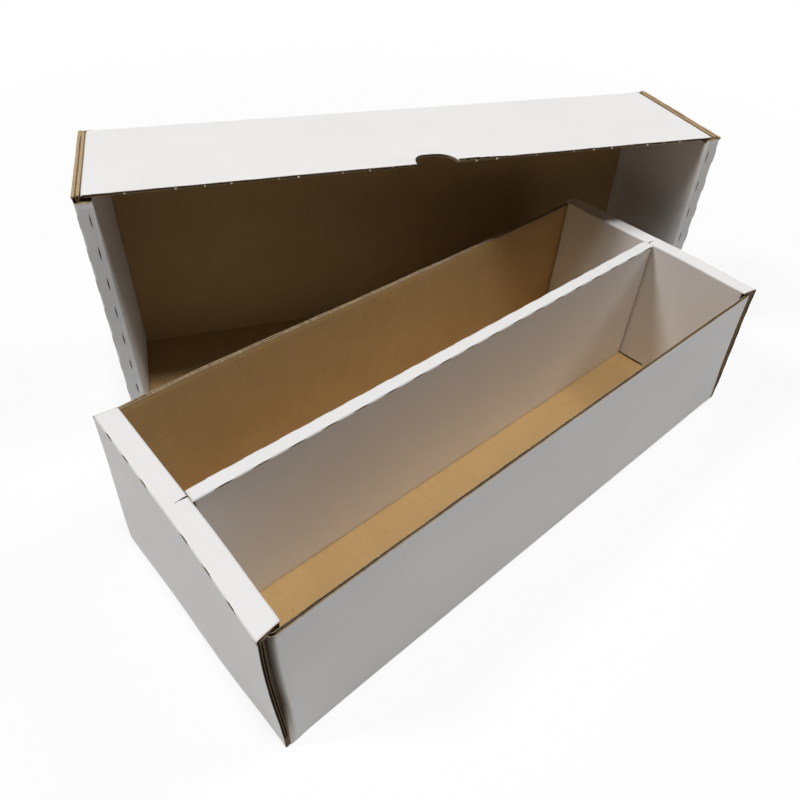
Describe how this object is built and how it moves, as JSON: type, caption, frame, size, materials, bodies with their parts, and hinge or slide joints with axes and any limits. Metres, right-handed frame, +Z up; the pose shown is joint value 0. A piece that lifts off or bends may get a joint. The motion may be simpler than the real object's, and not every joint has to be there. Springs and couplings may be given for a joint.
{
  "type": "card storage box",
  "caption": "Card storage box of white-faced fluted board: open tray with rolled ends and a lift-out row divider, with its deep lid taken off and standing on edge behind.",
  "frame": {"origin": "middle of the footprint of the tray and the lid that stands behind it, on the floor", "axes": "+X along the card rows, +Y from the tray's front wall towards the lid behind it, +Z up from the floor"},
  "size_m": [0.4402, 0.3146, 0.164],
  "materials": {
    "white_board": "matte",
    "kraft_board": "matte"
  },
  "bodies": {
    "tray": {"tray_front_wall": "white_board", "tray_front_left_flap": "kraft_board", "tray_front_right_flap": "kraft_board", "tray_back_wall": "white_board", "tray_back_left_flap": "kraft_board", "tray_back_right_flap": "kraft_board", "tray_left_end_panel": "white_board", "tray_left_rim": "white_board", "tray_left_inner_panel": "white_board", "tray_right_end_panel": "white_board", "tray_right_rim": "white_board", "tray_right_inner_panel": "white_board", "tray_base": "kraft_board"},
    "lid": {"lid_front_wall": "white_board", "lid_front_left_flap": "kraft_board", "lid_front_right_flap": "kraft_board", "lid_back_wall": "white_board", "lid_back_left_flap": "kraft_board", "lid_back_right_flap": "kraft_board", "lid_left_end_panel": "white_board", "lid_left_rim": "white_board", "lid_left_inner_panel": "white_board", "lid_right_end_panel": "white_board", "lid_right_rim": "white_board", "lid_right_inner_panel": "white_board", "lid_top_panel": "kraft_board"},
    "divider": {"divider_top_strip": "white_board"},
    "divider_front": {"divider_front_leaf": "white_board"},
    "divider_back": {"divider_back_leaf": "white_board"}
  },
  "joints": [
    {"name": "lid_slide", "type": "slide", "parent": "tray", "child": "lid", "axis": [0.4035, 0.915, 0], "range_m": [0, 0.15]},
    {"name": "divider_lift", "type": "slide", "parent": "tray", "child": "divider", "axis": [-0.0051, -0.0116, 0.9999], "range_m": [0, 0.1]},
    {"name": "front_leaf_fold", "type": "hinge", "parent": "divider", "child": "divider_front", "pos_m": [-0.03611, -0.08646, 0.09645], "axis": [-1, 0, -0.0051], "range_deg": [0, 20]},
    {"name": "back_leaf_fold", "type": "hinge", "parent": "divider", "child": "divider_back", "pos_m": [-0.03611, -0.07866, 0.09654], "axis": [1, 0, 0.0051], "range_deg": [0, 20]}
  ]
}
